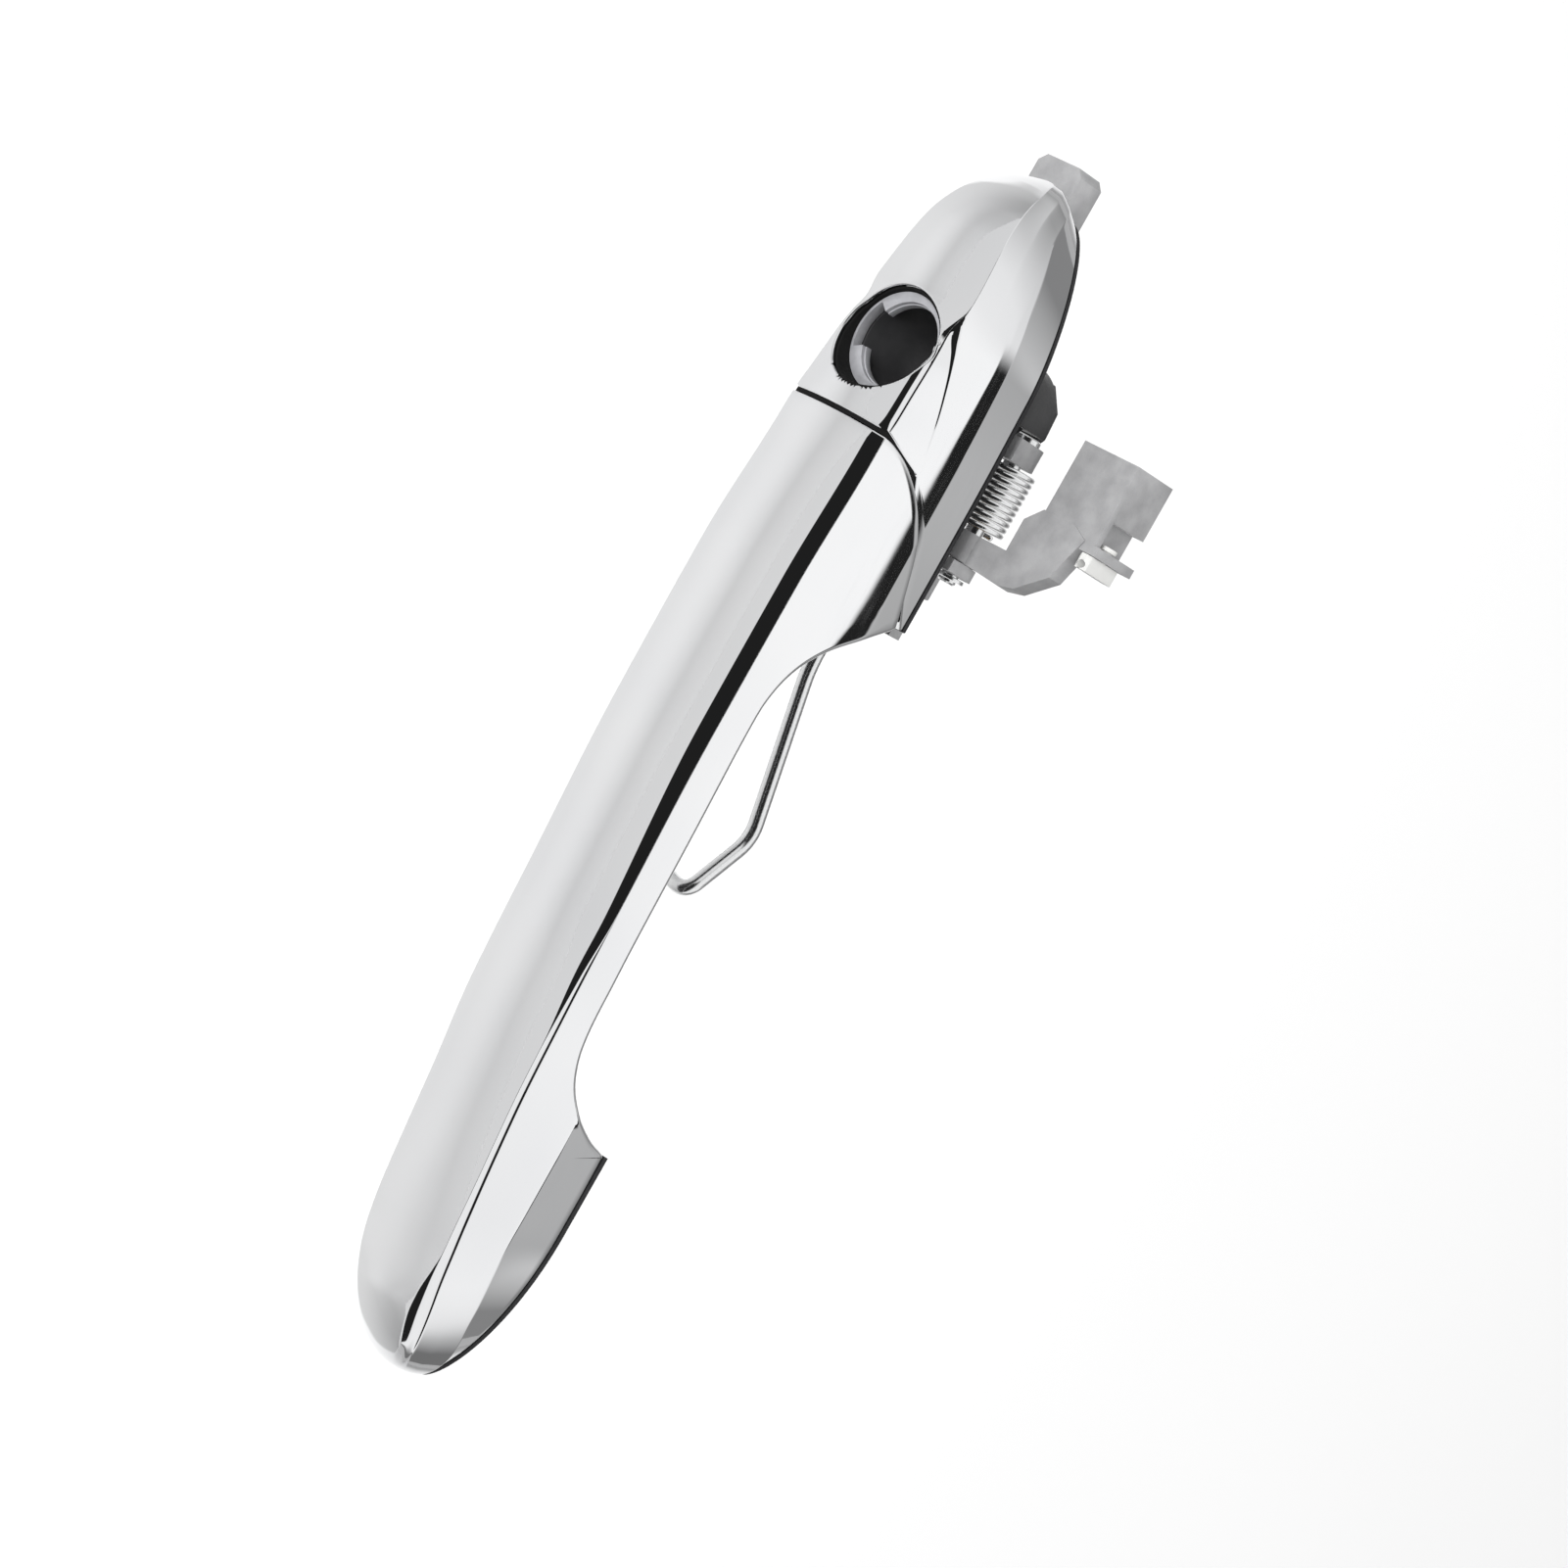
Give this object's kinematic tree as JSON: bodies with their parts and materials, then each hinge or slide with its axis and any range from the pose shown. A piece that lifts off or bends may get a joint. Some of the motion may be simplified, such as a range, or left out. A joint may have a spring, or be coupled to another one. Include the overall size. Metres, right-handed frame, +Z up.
{
  "type": "car door handle",
  "caption": "Chrome strap door handle: a grip that swings outward, a fixed cap with a key opening, and a sprung bell-crank with a counterweight behind the door skin.",
  "frame": {"origin": "on the outer face of the door skin, in line with the handle's middle, 14.8 mm from the key opening towards the hinge end", "axes": "+X along the handle towards the hinge end, -Y outward from the door, +Z up on the car"},
  "size_m": [0.2519, 0.0569, 0.0644],
  "materials": {
    "chrome": "mirror polished plating",
    "cast_metal": "die-cast, satin grey",
    "steel": "bright zinc-plated",
    "rubber": "matte",
    "black_plastic": "fine moulded grain",
    "ring_grey": "satin grey",
    "clip_plastic": "satin, slightly milky",
    "bronze": "sintered, dull"
  },
  "bodies": {
    "base": {"key_cap": "chrome", "rear_gasket": "rubber", "front_gasket": "rubber", "base_bracket": "cast_metal", "lock_tunnel": "black_plastic", "lock_ring": "ring_grey", "bump_stop": "rubber", "pivot_pin": "steel", "pin_clip": "steel", "return_spring": "steel", "retaining_wire": "steel", "cap_screw_1": "steel", "cap_screw_2": "steel", "hinge_bracket": "cast_metal", "hinge_pin": "steel", "hinge_screw_1": "steel", "hinge_screw_2": "steel"},
    "grip": {"grip_shell": "chrome", "grip_back": "chrome", "pull_arm": "cast_metal", "pull_arm_screw": "steel", "hinge_arm": "cast_metal", "hinge_arm_screw": "steel"},
    "crank": {"bell_crank": "cast_metal", "hub_bush": "bronze"},
    "clip": {"rod_clip": "clip_plastic"}
  },
  "joints": [
    {"name": "grip_pull", "type": "hinge", "parent": "base", "child": "grip", "pos_m": [0.181, -0.0055, 0], "axis": [0, 0, 1], "range_deg": [0, 5], "stiffness_Nm_per_rad": 1, "springref_deg": -11.46},
    {"name": "crank_turn", "type": "hinge", "parent": "base", "child": "crank", "pos_m": [0, 0.0086, 0.0078], "axis": [-1, 0, 0], "range_deg": [0, 50], "stiffness_Nm_per_rad": 0.05, "springref_deg": -34.38},
    {"name": "clip_swivel", "type": "hinge", "parent": "crank", "child": "clip", "pos_m": [0.0028, 0.0117, 0.0354], "axis": [-1, 0, 0], "range_deg": [0, 40]}
  ],
  "couplings": [
    {"joint": "crank_turn", "follows": "grip_pull", "ratio": 10}
  ]
}
